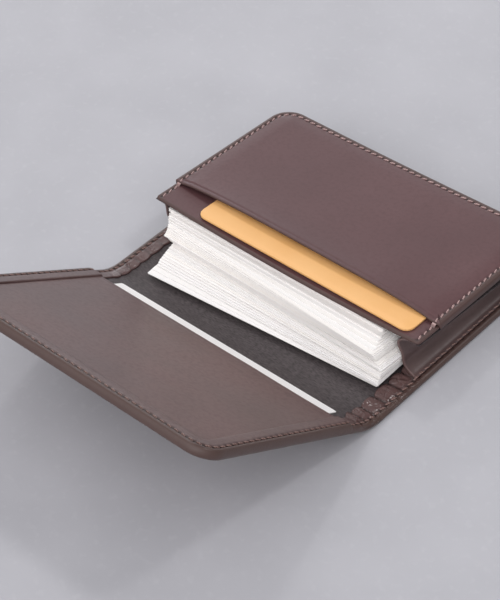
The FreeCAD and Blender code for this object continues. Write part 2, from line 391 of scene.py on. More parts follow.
class Shader(Nodes):
    """A material's node tree."""

    def __init__(self, name, specular):
        self.material = bpy.data.materials.new(name)
        self.material.use_nodes = True
        super().__init__(self.material.node_tree)
        self.surface = self.tree.nodes["Principled BSDF"]
        self.link(specular, self.surface.inputs["Specular IOR Level"])
        self.place = self.add("TexCoord", "Object", {})

    def stretched(self, x, y, z):
        return self.add("Mapping", "Vector", {"Vector": self.place, "Scale": (x, y, z)})

    def noise(self, size_mm, detail=3.0, where=None, distortion=0.0):
        return self.add("TexNoise", "Fac", {"Vector": where or self.place, "Scale": 1.0 / (size_mm * MM),
                                            "Detail": detail, "Distortion": distortion})

    def cells(self, size_mm):
        return self.add("TexVoronoi", "Distance", {"Vector": self.place, "Scale": 1.0 / (size_mm * MM)})

    def attribute(self, label):
        return self.add("Attribute", "Fac", {}, attribute_name=label)

    def span(self, value, from_low, from_high, to_low, to_high):
        return self.add("MapRange", "Result", {"Value": value, "From Min": from_low, "From Max": from_high,
                                               "To Min": to_low, "To Max": to_high})

    def mix(self, share, first, second):
        return self.add("Mix", "Result", {"Factor": share, "A": first, "B": second}, data_type="RGBA")

    def bump(self, height, depth_mm, strength=1.0, under=None):
        inputs = {"Distance": depth_mm * MM, "Strength": strength, "Height": height}
        if under is not None:
            inputs["Normal"] = under
        return self.add("Bump", "Normal", inputs)

    def finish(self, colour, roughness, normal):
        for label, source in (("Base Color", colour), ("Roughness", roughness), ("Normal", normal)):
            self.link(source, self.surface.inputs[label])
        return self.material


def leather(name, dark, light, margin, shine=(0.30, 0.42), grain=0.05):
    """Smooth bridle leather: cloudy dye, fine pores, burnished margin outside the stitches, and painted shade
    in the needle holes and along the hems' pleat valleys.
    """
    shader = Shader(name, specular=0.42)
    clouds = shader.noise(26, 3)
    fine = shader.noise(1.3, 3)
    colour = shader.mix(shader.span(clouds, 0.32, 0.68, 0, 1), dark, light)
    worn = tuple(0.78 * c for c in dark)
    colour = shader.mix(shader.span(fine, 0.45, 0.75, 0, 0.35), colour, worn)
    edge = shader.math("MULTIPLY", shader.attribute("margin"), shader.span(clouds, 0.2, 0.8, 0.45, 0.8))
    colour = shader.mix(edge, colour, margin)
    # Painted shade: near-black in the needle holes and along the pleat valleys, where shade falls.
    colour = shader.mix(shader.attribute("pit"), colour, (0.012, 0.007, 0.006))
    rough = shader.span(clouds, 0.3, 0.7, shine[0], shine[1])
    rough = shader.math("ADD", rough, shader.span(fine, 0.4, 0.7, 0.0, 0.06))
    gathered = shader.attribute("gather")
    rough = shader.math("SUBTRACT", rough, shader.math("MULTIPLY", gathered, 0.24))
    pores = shader.bump(shader.cells(0.55), grain, 0.35)
    wrinkles = shader.bump(shader.noise(2.2, 4, distortion=0.6), 0.06, 0.22, pores)
    creases = shader.math("MULTIPLY", gathered, shader.noise(2.6, 2, distortion=0.8))
    wrinkles = shader.bump(creases, 0.9, 1.0, wrinkles)
    return shader.finish(colour, rough, wrinkles)


def lining_fabric(name):
    """Charcoal lining paper with fine ribs across the case."""
    shader = Shader(name, specular=0.35)
    ribs = shader.noise(0.24, 2, shader.stretched(0.16, 1.0, 1.0))
    flecks = shader.noise(0.26, 3, shader.stretched(0.30, 1.0, 1.0))
    colour = shader.mix(shader.span(ribs, 0.36, 0.64, 0, 1), (0.040, 0.032, 0.033), (0.100, 0.082, 0.084))
    colour = shader.mix(shader.span(flecks, 0.58, 0.74, 0, 0.40), colour, (0.17, 0.145, 0.145))
    relief = shader.bump(ribs, 0.10, 0.7)
    return shader.finish(colour, shader.span(flecks, 0.3, 0.7, 0.52, 0.72), relief)


def thread_material(name, dark, light):
    """Waxed twisted thread: the twist is a ridge that winds round each stitch, with a painted highlight on
    the ridge, painted shade between the ridges, and painted shade where it dips into the needle holes.
    """
    shader = Shader(name, specular=0.4)
    twist = shader.math("ADD", shader.math("MULTIPLY", shader.attribute("along"), 9.0),
                        shader.attribute("around"))
    ridge = shader.span(shader.math("SINE", twist), -1, 1, 0, 1)
    # Painted highlight on each twist ridge and painted shade in the grooves between them.
    colour = shader.mix(shader.math("MULTIPLY", ridge, shader.span(shader.noise(3), 0.3, 0.7, 0.5, 1)),
                        dark, light)
    # Painted shade where the thread dips into its needle holes.
    colour = shader.mix(shader.attribute("pit"), colour, (0.02, 0.012, 0.010))
    return shader.finish(colour, shader.span(ridge, 0, 1, 0.62, 0.48), shader.bump(ridge, 0.05, 0.8))


def paper(name, warm, cool):
    """Uncoated card stock: each card has its own tint, with a faint fibre mottle."""
    shader = Shader(name, specular=0.3)
    colour = shader.mix(shader.attribute("tint"), warm, cool)
    fibre = shader.noise(0.5, 4)
    shade = tuple(0.98 * c for c in warm)
    colour = shader.mix(shader.span(fibre, 0.45, 0.8, 0, 0.5), colour, shade)
    return shader.finish(colour, shader.span(fibre, 0.3, 0.7, 0.55, 0.7), shader.bump(fibre, 0.008, 0.3))


def coated_card(name):
    """Satin orange card with a slightly uneven ink."""
    shader = Shader(name, specular=0.45)
    ink = shader.noise(18, 3)
    colour = shader.mix(shader.span(ink, 0.3, 0.7, 0, 1), (0.90, 0.48, 0.17), (0.94, 0.53, 0.21))
    speck = shader.noise(0.25, 2)
    colour = shader.mix(shader.span(speck, 0.6, 0.8, 0, 0.2), colour, (0.80, 0.38, 0.11))
    return shader.finish(colour, shader.span(ink, 0.3, 0.7, 0.38, 0.5), shader.bump(speck, 0.01, 0.3))


def grey_board(name):
    """Pressed fibre board."""
    shader = Shader(name, specular=0.2)
    fibre = shader.noise(0.8, 5)
    colour = shader.mix(fibre, (0.16, 0.13, 0.10), (0.30, 0.26, 0.21))
    return shader.finish(colour, shader.span(fibre, 0, 1, 0.7, 0.9), shader.bump(fibre, 0.04, 0.6))


def table_top(name):
    """Pale grey table with a faint mottle."""
    shader = Shader(name, specular=0.3)
    clouds = shader.noise(38, 5)
    specks = shader.noise(3.0, 3)
    colour = shader.mix(shader.span(clouds, 0.3, 0.7, 0, 1), (0.462, 0.458, 0.488), (0.510, 0.505, 0.537))
    colour = shader.mix(shader.span(specks, 0.55, 0.8, 0, 0.35), colour, (0.59, 0.585, 0.61))
    return shader.finish(colour, shader.span(specks, 0.3, 0.7, 0.55, 0.7), shader.bump(specks, 0.05, 0.3))


burnished_edge = (0.070, 0.043, 0.034)
cover_leather = leather("cover_leather", (0.092, 0.050, 0.047), (0.135, 0.078, 0.074), burnished_edge)
panel_leather = leather("panel_leather", (0.098, 0.042, 0.045), (0.116, 0.053, 0.056), burnished_edge,
                        shine=(0.40, 0.46), grain=0.02)
pocket_leather = leather("pocket_leather", (0.096, 0.048, 0.044), (0.138, 0.074, 0.069), burnished_edge,
                         grain=0.02)
gusset_rim = (0.150, 0.090, 0.084)
gusset_leather = leather("gusset_leather", (0.085, 0.053, 0.051), (0.125, 0.080, 0.076), gusset_rim)
lining = lining_fabric("lining_fabric")
panel_thread = thread_material("panel_thread", (0.28, 0.17, 0.16), (0.66, 0.47, 0.45))
cover_thread = thread_material("cover_thread", (0.13, 0.07, 0.06), (0.38, 0.24, 0.21))
card_stock = paper("card_stock", (0.97, 0.93, 0.89), (0.97, 0.95, 0.94))
accent_paper = coated_card("accent_card")
board_material = grey_board("stiffener_board")


# ---- Stitches --------------------------------------------------------------------------------------
thread_angles = np.linspace(0, 2 * math.pi, 8, endpoint=False)


def along_path(path, pitch, closed):
    """Evenly spaced places on a path, as near to the pitch as divides it."""
    path = np.vstack([path, path[:1]]) if closed else path
    lengths = np.concatenate([[0], np.cumsum(np.hypot(*np.diff(path, axis=0).T))])
    count = round(lengths[-1] / pitch)
    marks = np.linspace(0, lengths[-1], count + 1)
    if closed:
        marks = marks[:-1]
    return np.column_stack([np.interp(marks, lengths, path[:, 0]), np.interp(marks, lengths, path[:, 1])])


def pit_depth(points, holes, radius=0.50):
    """How deep each point lies in a needle hole, from 0 to 1."""
    depth = np.zeros(len(points))
    for hole in holes:
        near = np.hypot(points[:, 0] - hole[0], points[:, 1] - hole[1])
        depth = np.maximum(depth, np.exp(-(near / radius) ** 2))
    return depth


def stitch_row(name, holes, closed, surface, up=1.0, half_width=0.30, half_thick=0.22, slant=0.30):
    """One bent capsule of thread from each hole to the next, as a single mesh."""
    stations = np.array([-1.0, -0.9, -0.65, -0.3, 0.3, 0.65, 0.9, 1.0])
    swell = np.array([0.25, 0.65, 0.92, 1.0, 1.0, 0.92, 0.65, 0.25])
    dip = np.array([0.34, 0.20, 0.06, 0.0, 0.0, 0.06, 0.20, 0.34])
    draw = random.Random(name)
    points, faces, pits, runs, turns = [], [], [], [], []
    ends = list(zip(holes, np.roll(holes, -1, axis=0))) if closed else list(zip(holes[:-1], holes[1:]))
    for first, last in ends:
        middle, line = (first + last) / 2, last - first
        length = np.hypot(*line)
        along = line / length
        across = np.array([-along[1], along[0]])
        lean = slant + draw.uniform(-0.05, 0.05)
        fat = draw.uniform(0.9, 1.1)
        start = len(points)
        for place, wide, down in zip(stations, swell, dip):
            centre = middle + along * place * 0.40 * length + across * place * lean
            height = surface(centre[0], centre[1])
            for angle in thread_angles:
                side = centre + across * math.cos(angle) * half_width * wide * fat
                rise = up * (math.sin(angle) * half_thick * wide - down)
                points.append((side[0], side[1], height + rise))
                # Painted shade on the thread where it dips into the holes.
                pits.append(0.9 * (down / 0.34) ** 1.2)
                runs.append(place * 0.4 * length)
                turns.append(angle)
        faces += capped_faces(start, len(stations), len(thread_angles))
    return make_mesh(name, points, faces, attributes={"pit": pits, "along": runs, "around": turns})


# ---- Case cover, hems and lining -------------------------------------------------------------------
def hem_rise(s):
    """How much higher the hems stand over the flap's pocket."""
    return flap_hem_rise * smooth_step(s, flap_step, flap_step + 0.9)


def humps(s, valleys):
    """Rounded humps between sharp valleys, from 0 in a valley to 1 at a crest."""
    s = np.asarray(s, float)
    height = np.zeros(s.shape)
    for first, last in zip(valleys[:-1], valleys[1:]):
        t = np.clip((s - first) / (last - first), 0, 1)
        height = np.maximum(height, np.sqrt(np.clip(4 * t * (1 - t), 0, 1)))
    return height


def gathers(x, s):
    """Pleats in the hems over the spine: (extra width, extra height) at the hem's inner edge."""
    zone = smooth_step(s, 58, 64) * (1 - smooth_step(s, 92.5, 97))
    right = humps(s, right_valleys)
    left = humps(s, left_valleys)
    wide = np.where(x > 0, pleat_hem_width - hem_width - 0.9 + 1.1 * right, 0.85 * (left - 0.6))
    tall = np.where(x > 0, pleat_height * (right - 0.25), 0.26 * (left - 0.3))
    return zone * wide, zone * tall


cover_profile = [
    # inset, height, share of the hem's extra width, share of its pleats
    (0.90, 1.10, 0, 0), (0.90, 1.84, 0, 0), (3.00, 1.86, 0, 0), (6.30, 1.90, 1, 0),
    (6.48, 1.95, 1, 0.3), (6.50, 2.12, 1, 0.8), (6.44, 2.30, 1, 1), (6.25, 2.40, 1, 1),
    (5.90, 2.44, 1, 1), (5.30, 2.45, 0.85, 1), (4.60, 2.45, 0.6, 0.9), (3.90, 2.45, 0.3, 0.7),
    (3.30, 2.44, 0.1, 0.45), (2.80, 2.42, 0, 0.2), (2.45, 2.34, 0, 0.05), (2.27, 2.26, 0, 0),
    (2.10, 2.22, 0, 0), (1.93, 2.26, 0, 0), (1.75, 2.33, 0, 0), (1.40, 2.38, 0, 0),
    (1.00, 2.36, 0, 0), (0.62, 2.26, 0, 0), (0.30, 2.04, 0, 0), (0.09, 1.68, 0, 0),
    (0.00, 1.22, 0, 0), (0.08, 0.78, 0, 0), (0.28, 0.40, 0, 0), (0.60, 0.13, 0, 0),
    (1.00, 0.02, 0, 0), (1.50, 0.00, 0, 0), (1.85, 0.08, 0, 0), (2.10, 0.14, 0, 0),
    (2.35, 0.08, 0, 0), (2.70, 0.00, 0, 0), (4.50, 0.00, 0, 0), (7.50, 0.00, 0, 0),
]


def cover_skin(holes):
    """The case's one outer leather, turned in over its whole edge, as a closed skin."""
    outline = Outline(-case_half, case_half, 0, case_length, [case_corner] * 4, 0.54)
    normals = outline.normals
    extra_width, extra_height = gathers(*outline.ring().T)
    on_side = np.abs(normals[:, 0])
    rings, insets = [], []
    for inset, height, width_share, pleat_share in cover_profile:
        wider = width_share * extra_width * on_side
        flat = outline.ring(inset) + normals * wider[:, None]
        scale = 1 + hem_rise(flat[:, 1]) / hem_top
        tall = height * scale + pleat_share * extra_height * on_side
        if height > 2.0:
            tall = tall + 0.05 * ripple(flat[:, 0], flat[:, 1], 3.2, 1.0)
        rings.append(np.column_stack([flat, tall]))
        insets.append(inset + wider)
    points, faces, depth = shell(rings, 3.0, level(leather_inner), level(0.0), insets)
    inner_side = points[:, 2] > 1.3
    pits = np.zeros(len(points))
    around_seam = (depth < 3.2) & (depth > 1.0)
    # The needle holes are dimpled, and the same values darken them with painted shade.
    pits[around_seam] = pit_depth(points[around_seam, :2], holes, 0.62)
    points[:, 2] += np.where(inner_side, -0.26, 0.14) * pits
    outer_face = ~inner_side & (depth > 2.5) & (points[:, 2] < 0.5)
    points[outer_face, 2] += 0.035 * (1 + ripple(*points[outer_face, :2].T, 16.0, 2.0))
    margin = 1 - smooth_step(depth, 1.6, 2.2)
    zone = smooth_step(points[:, 1], 60, 66) * (1 - smooth_step(points[:, 1], 92, 97))
    gather = zone * inner_side * (depth < 9) * np.where(points[:, 0] > 0, 1.0, 0.35)
    # Painted shade: a dark line along each pleat valley of the hems, where the folds shade each other.
    for x_side, valleys, dark in ((1, right_valleys, 0.85), (-1, left_valleys, 0.5)):
        for valley in valleys:
            lean = points[:, 1] - valley - 0.12 * (depth - 4)
            fold = dark * zone * inner_side * (depth > 2.4) * (depth < 9) * (x_side * points[:, 0] > 0)
            pits = np.maximum(pits, fold * np.exp(-(lean / 0.42) ** 2))
    return make_mesh("cover", points, faces, attributes={"margin": margin, "pit": pits, "gather": gather})


def cover_seam_height(x, s):
    """Top of whatever the cover's seam runs over: gusset flange, bare hem, or hem over the pocket."""
    on_gusset = 1 - smooth_step(s, case_far - gusset_near - 0.3, case_far - gusset_near + 0.7)
    return 2.36 + 0.62 * float(on_gusset) + float(hem_rise(s))


def lining_sheet():
    """Lining paper over the boards and spine, tucked under the hems."""
    outline = Outline(-case_half + 1, case_half - 1, 1, case_length - 1, [7.0] * 4, 2.0)
    profile = [(0.2, lining_low), (0.0, lining_low + 0.1), (0.0, lining_top - 0.1), (0.2, lining_top)]
    rings = [outline.lift(inset, height) for inset, height in profile]
    points, faces, _ = shell(rings, 2.4, level(lining_low), level(lining_top))
    return make_mesh("lining", points, faces)


def build_case():
    seam = Outline(-case_half, case_half, 0, case_length, [case_corner] * 4, 0.4).ring(seam_inset)
    holes = along_path(seam, stitch_pitch, closed=True)
    ride_case("cover", cover_skin(holes), cover_leather,
              ["cover_back", "hem_back_left", "hem_back_right", "hem_back_far"],
              ["cover_spine", "cover_flap", "hem_spine_left", "hem_spine_right",
               "hem_flap_left", "hem_flap_right", "hem_flap_edge"])
    ride_case("lining", lining_sheet(), lining,
              ["lining_back"], ["lining_spine", "lining_flap"])
    inner = stitch_row("cover_stitches_inner", holes, True, cover_seam_height)
    ride_case("cover_stitches_inner", inner, cover_thread,
              ["thread_back"], ["thread_spine", "thread_flap"])
    outer = stitch_row("cover_stitches_outer", holes, True, lambda x, s: 0.10, up=-1.0,
                       half_thick=0.10)
    ride_case("cover_stitches_outer", outer, cover_thread, [], [])


# ---- Flap pocket and its card ----------------------------------------------------------------------
def flap_pocket():
    """Leather over most of the flap; its mouth faces the spine and its other edges lie under hems."""
    outline = Outline(-flap_pocket_half, flap_pocket_half, flap_pocket_mouth, flap_pocket_far,
                      [1.0, 1.0, 7.0, 7.0], 0.8)
    profile = [(1.6, flap_pocket_low), (0.5, flap_pocket_low), (0.18, 2.40), (0.03, 2.52), (0.0, 2.66),
               (0.05, 2.82), (0.22, 2.96), (0.5, 3.00), (1.2, 3.00), (1.6, 2.95), (2.0, 3.0),
               (3.5, 3.0), (6.0, 3.0)]
    rings = [outline.lift(inset, height) for inset, height in profile]
    points, faces, _ = shell(rings, 2.2, level(flap_pocket_low), level(flap_pocket_top))
    top = points[:, 2] > 2.7
    inside = smooth_step(56 - np.abs(points[:, 0]), 6.0, 14.0)
    inside = inside * (1 - smooth_step(points[:, 1], case_length - 16, case_length - 7))
    points[top, 2] += 0.10 * (inside * ripple(*points[:, :2].T, 24.0, 5.0))[top]
    points[top, 2] += 0.05 * (inside * ripple(*points[:, :2].T, 9.0, 6.0))[top]
    zeros = np.zeros(len(points))
    mesh = welded(make_mesh("flap_pocket", points, faces, attributes={"margin": zeros, "pit": zeros}))
    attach(piece("flap_pocket_leather", mesh, on_case, pocket_leather,
                  ["flap_pocket"]), "flap")


def sheet_box(length, depth, thick, corner=0.35):
    """A thin card with softened corners in plan, its near edge centred on the origin."""
    outline = Outline(-length / 2, length / 2, 0, depth, [corner] * 4, 4.0)
    ring_low, ring_high = outline.lift(0, 0), outline.lift(0, thick)
    return np.vstack([ring_low, ring_high]), capped_faces(0, 2, len(ring_low))


def flap_card():
    """The single card kept in the flap's pocket."""
    points, faces = sheet_box(card_length, card_depth, card_thick, 0.6)
    points = points + np.array([0.4, flap_card_near, 1.98])
    mesh = make_mesh("flap_card", points, faces, smooth=False, attributes={"tint": [0.9] * len(points)})
    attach(piece("flap_card_sheet", mesh, on_case, card_stock, ["flap_card"]), "flap_card")


# ---- Card stack ------------------------------------------------------------------------------------
def turned(points, angle, move):
    """Points turned in plan about the origin, then moved."""
    c, s = math.cos(angle), math.sin(angle)
    x, y, z = points.T
    return np.column_stack([c * x - s * y, s * x + c * y, z]) + np.array(move)


def tipped(points, far_y, tip_z, angle):
    """Points with their near end lifted about the line y = far_y, z = tip_z."""
    c, s = math.cos(angle), math.sin(angle)
    x, y, z = points.T
    back, up = y - far_y, z - tip_z
    return np.column_stack([x, far_y + back * c + up * s, tip_z - back * s + up * c])


def card_plane(number, layer):
    """Underside of one card of a bundle: far end's y and z, and how far its near end is lifted."""
    count, _, near_y, turn, lift = card_bundles[number - 1]
    after = card_bundles[min(number, len(card_bundles) - 1)]
    turn_rad = math.radians(turn)
    far_y = near_y + card_depth * math.cos(turn_rad) + card_length / 2 * abs(math.sin(turn_rad))
    fan = math.radians(lift + (after[4] - lift) * layer / count)
    return far_y, low("cards_" + str(number)).z + layer * card_pitch, fan


def card_bundle(number):
    """One bundle of loose cards; each card has slid a little past the one below it."""
    count, near_x, near_y, turn, _ = card_bundles[number - 1]
    after = card_bundles[min(number, len(card_bundles) - 1)]
    node = "cards_" + str(number)
    draw = random.Random(node)
    points, faces, tints = [], [], []
    total = 0
    for layer in range(count):
        share = card_slip * layer / count
        far_y, height, fan = card_plane(number, layer)
        sheet, sheet_faces = sheet_box(card_length, card_depth, card_thick)
        angle = math.radians(turn + (after[3] - turn) * share + draw.uniform(-0.10, 0.10))
        slide = (near_x + (after[1] - near_x) * share + draw.uniform(-0.25, 0.25),
                 near_y + (after[2] - near_y) * share + draw.uniform(-0.05, 0.05),
                 height)
        sheet = tipped(turned(sheet, angle, slide), far_y, height, fan)
        if layer + 1 < count or number < len(card_bundles):
            last = layer + 1 == count
            next_far, next_z, next_fan = card_plane(number + last, 0 if last else layer + 1)
            upper = sheet[len(sheet) // 2:]
            between = last and number < first_level_bundle
            gap = bundle_gap + bundle_gap_right * smooth_step(upper[:, 0], -20, 46) if between else card_gap
            over = next_z + (next_far - upper[:, 1]) * math.tan(next_fan) - gap
            upper[:, 2] = np.maximum(over, sheet[:len(sheet) // 2, 2] + 0.2)
        points.append(sheet)
        faces += [tuple(total + i for i in face) for face in sheet_faces]
        tints += [draw.uniform(0, 1)] * len(sheet)
        total += len(sheet)
    mesh = make_mesh(node, np.vstack(points), faces, smooth=False, attributes={"tint": tints})
    body = "cards_low" if number <= 2 else node
    sheets = piece(node + "_sheets", mesh, as_drawn, card_stock, [node])
    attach(sheets, body)
    if number < len(card_bundles):
        far_y, height, fan = card_plane(number, 0)
        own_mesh(sheets)


# ---- Gusset ----------------------------------------------------------------------------------------
gusset_section = [
    # inset from the outline, extra bulge at the mouth, share of the height
    (1.0, 0.0, 0.0), (1.9, 0.0, 0.0), (2.6, 0.0, 0.008), (3.4, 0.1, 0.04), (4.2, 0.2, 0.085),
    (4.9, 0.3, 0.13), (5.5, 0.5, 0.18), (6.0, 0.5, 0.25), (6.1, 0.4, 0.34), (5.9, 0.8, 0.43),
    (5.5, 1.5, 0.51), (5.0, 2.6, 0.59), (4.75, 3.6, 0.68), (4.7, 3.9, 0.77), (4.7, 3.2, 0.86),
    (4.7, 1.9, 0.935), (4.6, 0.7, 0.98), (4.1, 0.1, 1.0), (3.2, 0.0, 1.0), (1.8, 0.0, 1.0), (0.5, 0.0, 1.0),
]


def gusset_path(half, far, radius):
    """Open path round the pocket: left side from the mouth, far side, right side back to the mouth."""
    corner = np.linspace(0, math.pi / 2, 9)
    depth = np.linspace(0, 1, 34) ** 1.4
    left = [(-half, gusset_near + (far - radius - gusset_near) * t) for t in depth]
    far_left = [(-half + radius - radius * math.cos(a), far - radius + radius * math.sin(a)) for a in corner]
    across = [(x, far) for x in np.linspace(-half + radius, half - radius, 20)[1:-1]]
    right = [(-x, y) for x, y in reversed(left)]
    far_right = [(-x, y) for x, y in reversed(far_left)]
    return np.array(left + far_left[1:] + across + far_right[:-1] + right)


def gusset():
    """Bellows of the pocket: one strip sewn to the back plate below and to the front panel above."""
    levels = []
    for inset, bulge, share in gusset_section:
        path = gusset_path(gusset_half - inset, gusset_far - inset, max(gusset_corner - inset, 2.4))
        open_part = np.exp(-((path[:, 1] - gusset_near) / 15.0) ** 2)
        open_part = np.where(np.abs(path[:, 0]) > 40, open_part, 0)
        wave = 0.15 * open_part * ripple(path[:, 1], np.full(len(path), share * 9), 5.0, 7.0)
        left_side = path[:, 0] < -40
        bulging = np.where(left_side, 0.1, 1.0) * (bulge * open_part + wave * (bulge > 0.4))
        x = path[:, 0] - np.sign(path[:, 0]) * bulging
        x = x - left_side * 0.9 * smooth_step(share, 0.5, 0.7)      # the top cards lie close to it
        top = on_panel(np.column_stack([x, path[:, 1], np.full(len(x), gusset_level)]))
        z = gusset_low + share * (top[:, 2] - gusset_low)
        y = path[:, 1] + share * (top[:, 1] - path[:, 1])
        levels.append(np.column_stack([x, y, z]))
    middle = np.array(levels)
    along, up = np.gradient(middle, axis=1), np.gradient(middle, axis=0)
    outward = np.cross(along, up)
    outward /= np.linalg.norm(outward, axis=2, keepdims=True) + 1e-9
    half = gusset_thick / 2 * (1 + 0.7 * np.exp(-((middle[:, :, 1:2] - gusset_near) / 0.9) ** 2))
    loop = np.concatenate([middle + outward * half, (middle - outward * half)[::-1]])
    rows, columns = loop.shape[:2]
    points = loop.reshape(-1, 3)
    faces = []
    for row in range(rows):
        this, following = row * columns, (row + 1) % rows * columns
        faces += [(this + i, this + i + 1, following + i + 1, following + i) for i in range(columns - 1)]
    for row in range(rows // 2 - 1):
        corners = (row, row + 1, rows - 2 - row, rows - 1 - row)
        faces += [tuple(corner * columns + end for corner in corners) for end in (0, columns - 1)]
    rim = np.exp(-((points[:, 1] - gusset_near) / 0.8) ** 2)
    mesh = make_mesh("gusset", points, faces, attributes={"margin": rim, "pit": np.zeros(len(points))})
    strip = piece("gusset_bellows", mesh, as_drawn, gusset_leather,
                  ["gusset_lower", "gusset_upper"])
    refine(strip, 1)
    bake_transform(strip)


def refine(thing, levels):
    """Applies a subdivision surface to a piece's mesh."""
    modifier = thing.modifiers.new("refine", "SUBSURF")
    modifier.levels = levels
    evaluated = thing.evaluated_get(bpy.context.evaluated_depsgraph_get())
    mesh = bpy.data.meshes.new_from_object(evaluated)
    thing.modifiers.clear()
    thing.data = mesh


# ---- Front panel, slip pocket and accent card ------------------------------------------------------
def from_sides(x, y):
    """Distance in from the panel's left, right and far edges, with rounded far corners."""
    side = panel_half - np.abs(x)
    far = panel_far - y
    radius = case_corner
    in_corner = (side < radius) & (far < radius)
    rounded = radius - np.hypot(radius - side, radius - far)
    return np.where(in_corner, rounded, np.minimum(side, far))


def slip_surface(x, y):
    """Top of the slip pocket: sewn down at its rim, raised over the card, bowed up at its mouth."""
    x, y = np.asarray(x, float), np.asarray(y, float)
    crown = (slip_top - slip_rim_top) * smooth_step(from_sides(x, y), 2.4, 6.4)
    bow = mouth_bow * np.clip(1 - np.abs(x / mouth_bow_half) ** 3.5, 0, 1)
    return slip_rim_top + crown + bow * np.exp(-np.clip(y - mouth_y, 0, None) / 11.0)


def panel_sag(x, y):
    """How far the panel's near edge hangs between its ends."""
    return sag * np.clip(1 - (x / sag_half) ** 2, 0, 1) * np.exp(-np.clip(y - panel_near, 0, None) / 9.0)


def panel_base(holes):
    """The panel's lower leather, rolled under on all sides, with its near edge a little slack."""
    half = panel_half - 0.45
    groove_inset, groove_depth = 1.65, 0.10      # the seam's groove, which the near edge doesn't have
    outline = Outline(-half, half, panel_near, panel_far - 0.45, [1.4, 1.4, 7.6, 7.6], 0.54)
    near_side = smooth_step(outline.normals[:, 1], 0.6, 1.0)
    profile = [(1.6, panel_low), (0.5, 11.73), (0.16, 11.84), (0.02, 12.10), (0.02, 12.30),
               (0.14, 12.52), (0.40, 12.65), (0.80, 12.70), (1.30, 12.70), (1.50, 12.66), (1.65, 12.60),
               (1.85, 12.66), (2.2, 12.70), (3.0, 12.70), (5.0, 12.70), (7.0, 12.70)]
    rings, insets = [], []
    for inset, height in profile:
        flat = outline.ring(inset)
        tall = height + groove_depth * near_side * (inset == groove_inset)
        out = 0.6 * np.clip(1 - (flat[:, 0] / sag_half) ** 2, 0, 1) * near_side
        flat = flat - np.column_stack([np.zeros(len(out)), out])
        rings.append(np.column_stack([flat, tall - panel_sag(flat[:, 0], flat[:, 1])]))
        insets.append(inset + 9 * near_side * (inset > 1.0))
    points, faces, depth = shell(rings, 2.4, lambda x, y: panel_low - panel_sag(x, y),
                                 lambda x, y: panel_top - panel_sag(x, y), insets)
    # The needle holes are dimpled, and the same values darken them with painted shade.
    pits = pit_depth(points[:, :2], holes) * (points[:, 2] > 12.2)
    points[:, 2] -= 0.16 * pits
    points[:, 2] += 0.03 * ripple(*points[:, :2].T, 8.0, 3.0)
    margin = 1 - smooth_step(depth, 1.3, 1.8)
    return welded(make_mesh("panel_base", points, faces, attributes={"margin": margin, "pit": pits}))


def slip_pocket(holes):
    """Upper leather of the panel: sewn round three sides, its mouth turned in and creased."""
    outline = Outline(-panel_half, panel_half, mouth_y, panel_far, [0.9, 0.9, 8.0, 8.0], 0.54)
    under = -slip_thick
    # Each row: inset and height at a sewn side, then inset and height under the surface at the mouth.
    profile = [
        (6.2, None, 6.2, under), (4.8, 13.25, 4.8, under), (3.6, 12.78, 3.6, under),
        (0.9, 12.74, 0.9, under), (0.52, 12.60, 0.5, under), (0.47, 12.10, 0.30, -0.83),
        (0.40, 11.62, 0.15, -0.80), (0.12, 11.55, 0.05, -0.70), (0.0, 11.80, 0.0, -0.58),
        (0.0, 12.90, 0.0, -0.42), (0.06, 13.50, 0.02, -0.30), (0.27, 13.84, 0.08, -0.18),
        (0.60, 14.02, 0.2, -0.08), (1.10, 14.10, 0.4, -0.02), (1.50, 14.09, 0.9, 0.0),
        (1.80, 14.00, 1.3, -0.02), (2.10, 13.90, 1.7, -0.28), (2.40, 14.00, 2.1, -0.02),
        (2.80, None, 2.5, 0.03), (3.4, None, 3.2, 0.0), (4.4, None, 4.4, 0.0), (7.0, None, 7.0, 0.0),
    ]
    mouth = smooth_step(outline.normals[:, 1], 0.15, 0.95)
    rings, insets = [], []
    for number, (inset, height, mouth_inset, below) in enumerate(profile):
        shift = (mouth_inset - inset) * mouth
        flat = outline.ring(inset) + outline.normals * shift[:, None]
        surface = slip_surface(flat[:, 0], flat[:, 1])
        side_height = surface + (under if number == 0 else 0) if height is None else height
        rings.append(np.column_stack([flat, side_height * (1 - mouth) + (surface + below) * mouth]))
        insets.append(inset + shift + 9 * (mouth > 0.5) * (inset > 0.6))
    points, faces, depth = shell(rings, 2.2, lambda x, y: slip_surface(x, y) + under, slip_surface, insets)
    top = points[:, 2] > 13.3
    # The needle holes are dimpled, and the same values darken them with painted shade.
    pits = pit_depth(points[:, :2], holes) * top
    points[:, 2] -= 0.18 * pits
    swell = smooth_step(from_sides(points[:, 0], points[:, 1]), 3.0, 9.0)
    points[:, 2] += 0.07 * swell * ripple(*points[:, :2].T, 22.0, 4.0)
    margin = 1 - smooth_step(depth, 1.55, 2.05)
    return welded(make_mesh("slip_pocket", points, faces, attributes={"margin": margin, "pit": pits}))


def panel_seam():
    """Seam round the panel's left, far and right sides, from near edge to near edge."""
    outline = Outline(-panel_half + seam_inset, panel_half - seam_inset, panel_near + 0.9,
                      panel_far - seam_inset, [0.01, 0.01, 5.9, 5.9], 0.4).ring()
    sides = outline[outline[:, 1] > panel_near + 1.0]
    corner = np.argmax(np.hypot(*np.diff(np.vstack([sides, sides[:1]]), axis=0).T))
    return np.roll(sides, -corner - 1, axis=0)


def panel_seam_height(x, y):
    if y > mouth_y + 0.2:
        return float(slip_surface(x, y)) - 0.02
    return panel_top - float(panel_sag(x, y))


